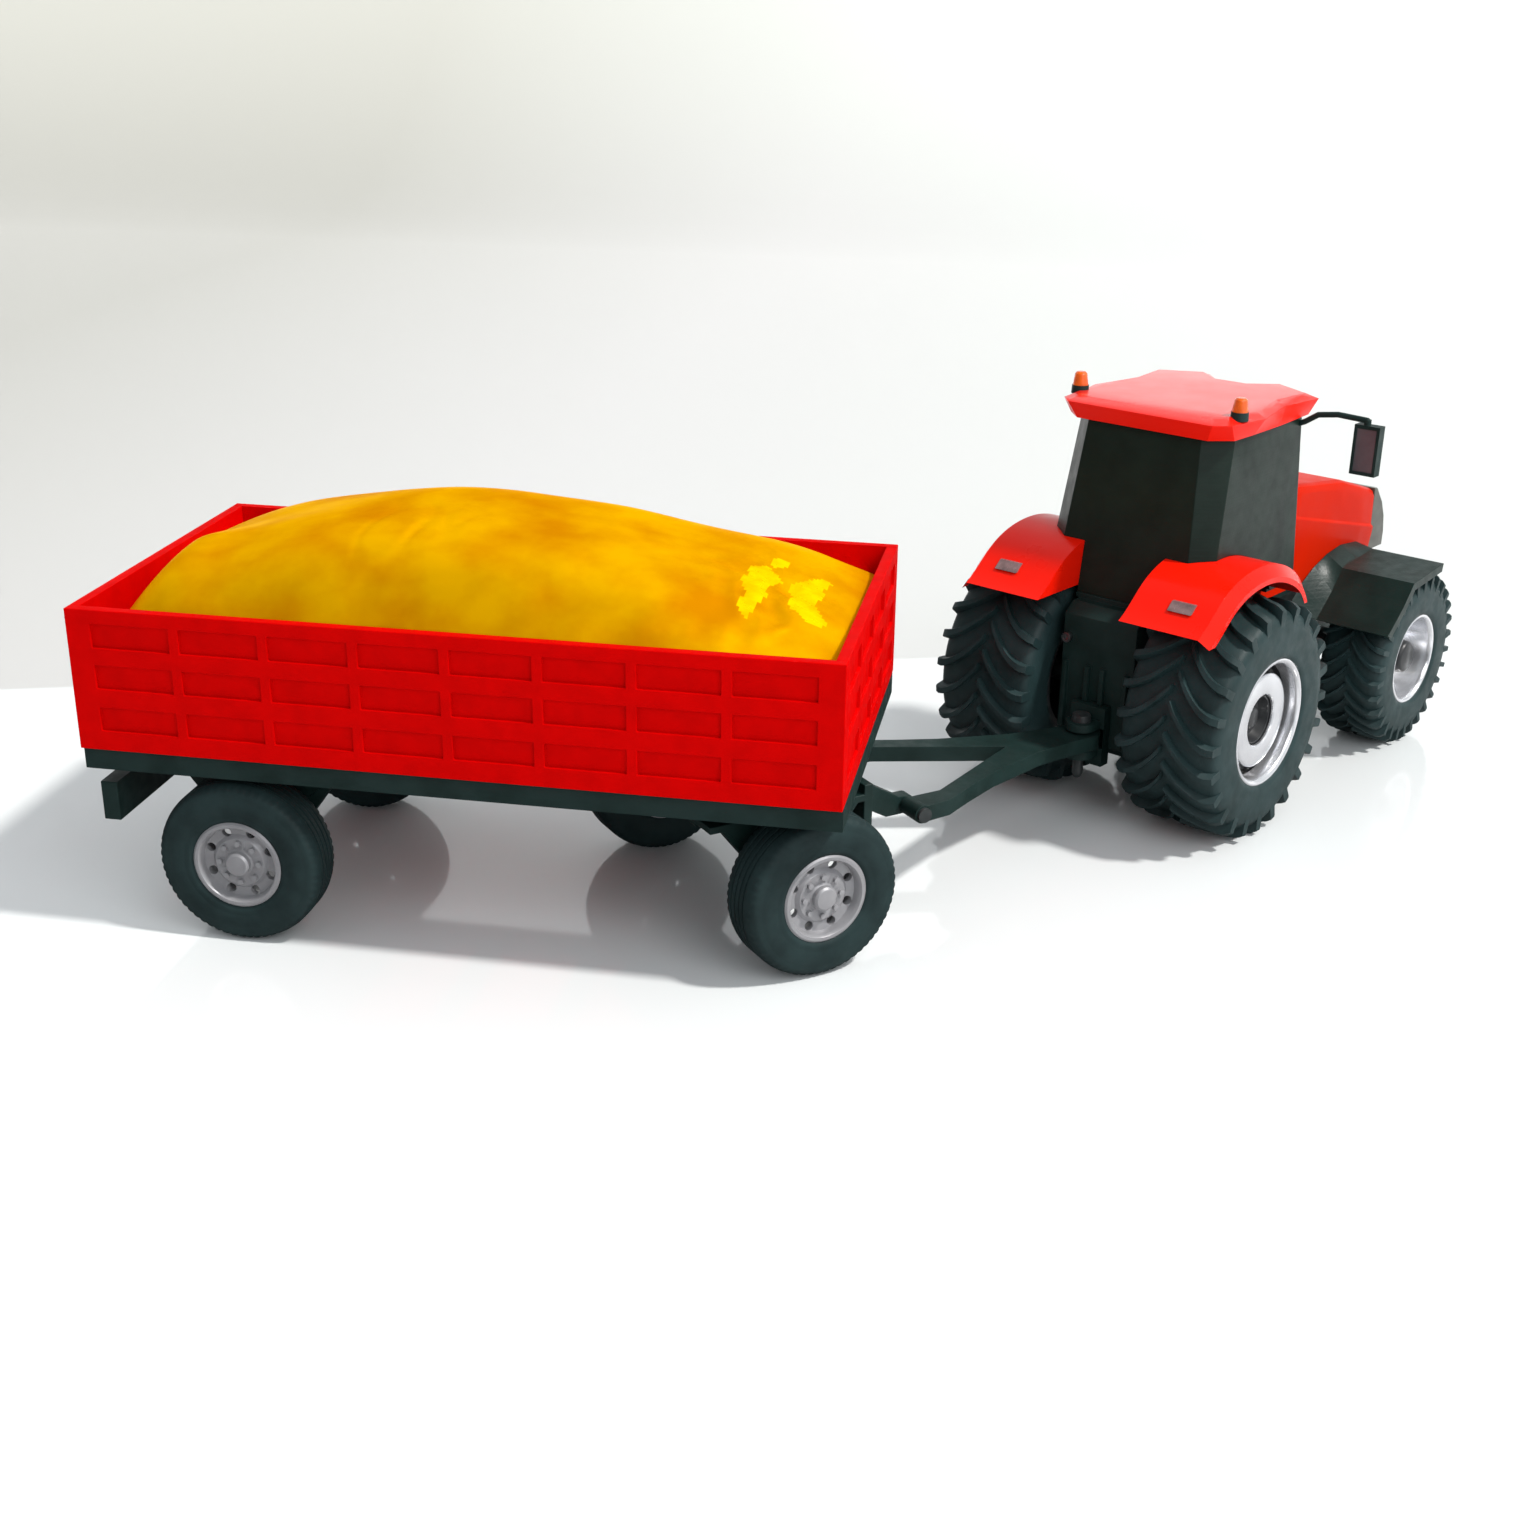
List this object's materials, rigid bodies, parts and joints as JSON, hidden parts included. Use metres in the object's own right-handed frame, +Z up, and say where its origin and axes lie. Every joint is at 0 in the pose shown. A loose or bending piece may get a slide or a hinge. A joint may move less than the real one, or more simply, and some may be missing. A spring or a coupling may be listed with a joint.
{
  "type": "toy tractor with trailer",
  "caption": "Toy farm tractor with a dark cab, red hood and fenders, hitched by a drawbar to a red box trailer that carries a golden heap.",
  "frame": {"origin": "on the ground under the middle of the whole toy's box, with the toy standing as pictured", "axes": "+X along the trailer towards its front, +Y to the trailer's left, +Z up; the tractor stands turned to the left of the trailer"},
  "size_m": [0.567, 0.4376, 0.1949],
  "materials": {
    "cast_black": "matt, fine print lines",
    "cab_dark": "semi-gloss",
    "red_shell": "satin",
    "red_box": "satin",
    "tyre_black": "matt",
    "rim_silver": "satin silver",
    "hub_dark": "satin",
    "beacon_orange": "gloss",
    "lamp_grey": "satin",
    "grille_grey": "satin",
    "mirror_glass": "clear",
    "pin_steel": "bright",
    "load_gold": "silky"
  },
  "bodies": {
    "tractor": {"tractor_chassis": "cast_black", "cab_shell": "cab_dark", "cab_roof": "red_shell", "beacon_bases": "cast_black", "beacon_lens_left": "beacon_orange", "beacon_lens_right": "beacon_orange", "rear_fender_left": "red_shell", "rear_fender_right": "red_shell", "tail_light_left": "lamp_grey", "tail_light_right": "lamp_grey", "hood": "red_shell", "grille": "grille_grey", "front_fender_left": "cast_black", "front_fender_right": "cast_black", "mirror_right": "cast_black", "mirror_glass_right": "mirror_glass", "rear_axle": "pin_steel", "front_axle": "pin_steel", "hitch_bracket": "cast_black", "rear_coupler": "pin_steel"},
    "rear_left_wheel": {"rear_left_tyre": "tyre_black", "rear_left_rim": "rim_silver", "rear_left_hub": "hub_dark"},
    "rear_right_wheel": {"rear_right_tyre": "tyre_black", "rear_right_rim": "rim_silver", "rear_right_hub": "hub_dark"},
    "front_left_wheel": {"front_left_tyre": "tyre_black", "front_left_rim": "rim_silver", "front_left_hub": "hub_dark"},
    "front_right_wheel": {"front_right_tyre": "tyre_black", "front_right_rim": "rim_silver", "front_right_hub": "hub_dark"},
    "hitch_pin": {"hitch_pin": "pin_steel"},
    "drawbar": {"drawbar": "cast_black", "drawbar_pins": "pin_steel"},
    "bogie": {"bogie_frame": "cast_black", "turntable_lower": "cast_black", "kingpin": "pin_steel", "bogie_axle": "pin_steel"},
    "bogie_left_wheel": {"bogie_left_tyre": "tyre_black", "bogie_left_rim": "rim_silver"},
    "bogie_right_wheel": {"bogie_right_tyre": "tyre_black", "bogie_right_rim": "rim_silver"},
    "trailer": {"bed_floor": "red_box", "side_panel_left": "red_box", "side_panel_right": "red_box", "front_panel": "red_box", "tail_panel": "red_box", "chassis_frame": "cast_black", "rear_bumper": "cast_black", "rear_hangers": "cast_black", "trailer_axle": "pin_steel", "turntable_upper": "cast_black"},
    "trailer_left_wheel": {"trailer_left_tyre": "tyre_black", "trailer_left_rim": "rim_silver"},
    "trailer_right_wheel": {"trailer_right_tyre": "tyre_black", "trailer_right_rim": "rim_silver"},
    "load": {"heap_load": "load_gold"}
  },
  "joints": [
    {"name": "rear_left_wheel_spin", "type": "hinge", "parent": "tractor", "child": "rear_left_wheel", "pos_m": [0.07768, 0.03625, 0.0547], "axis": [-0.8572, 0.515, 0], "continuous": true},
    {"name": "rear_right_wheel_spin", "type": "hinge", "parent": "tractor", "child": "rear_right_wheel", "pos_m": [0.16168, -0.01422, 0.0547], "axis": [-0.8572, 0.515, 0], "continuous": true},
    {"name": "front_left_wheel_spin", "type": "hinge", "parent": "tractor", "child": "front_left_wheel", "pos_m": [0.15373, 0.17349, 0.0441], "axis": [-0.8572, 0.515, 0], "continuous": true},
    {"name": "front_right_wheel_spin", "type": "hinge", "parent": "tractor", "child": "front_right_wheel", "pos_m": [0.24716, 0.11735, 0.0441], "axis": [-0.8572, 0.515, 0], "continuous": true},
    {"name": "hitch_pin_lift", "type": "slide", "parent": "tractor", "child": "hitch_pin", "axis": [0, 0, 1], "range_m": [0, 0.034]},
    {"name": "hitch_yaw", "type": "hinge", "parent": "tractor", "child": "drawbar", "pos_m": [0.09908, -0.02327, 0.0395], "axis": [0, 0, 1], "range_deg": [-15.5, 54]},
    {"name": "drawbar_pitch", "type": "hinge", "parent": "drawbar", "child": "bogie", "pos_m": [0.01322, -0.09456, 0.0395], "axis": [-0.6388, 0.7694, 0], "range_deg": [-6, 6]},
    {"name": "bogie_left_wheel_spin", "type": "hinge", "parent": "bogie", "child": "bogie_left_wheel", "pos_m": [-0.08318, -0.08803, 0.0335], "axis": [-0.6388, 0.7694, 0], "continuous": true},
    {"name": "bogie_right_wheel_spin", "type": "hinge", "parent": "bogie", "child": "bogie_right_wheel", "pos_m": [0.0019, -0.19051, 0.0335], "axis": [-0.6388, 0.7694, 0], "continuous": true},
    {"name": "turntable_yaw", "type": "hinge", "parent": "bogie", "child": "trailer", "pos_m": [-0.04064, -0.13927, 0.0656], "axis": [0, 0, 1], "range_deg": [-20, 99]},
    {"name": "trailer_left_wheel_spin", "type": "hinge", "parent": "trailer", "child": "trailer_left_wheel", "pos_m": [-0.22364, -0.07267, 0.0335], "axis": [0, 1, 0], "continuous": true},
    {"name": "trailer_right_wheel_spin", "type": "hinge", "parent": "trailer", "child": "trailer_right_wheel", "pos_m": [-0.22364, -0.20587, 0.0335], "axis": [0, 1, 0], "continuous": true},
    {"name": "load_lift", "type": "slide", "parent": "trailer", "child": "load", "axis": [0, 0, 1], "range_m": [0, 0.1]}
  ]
}
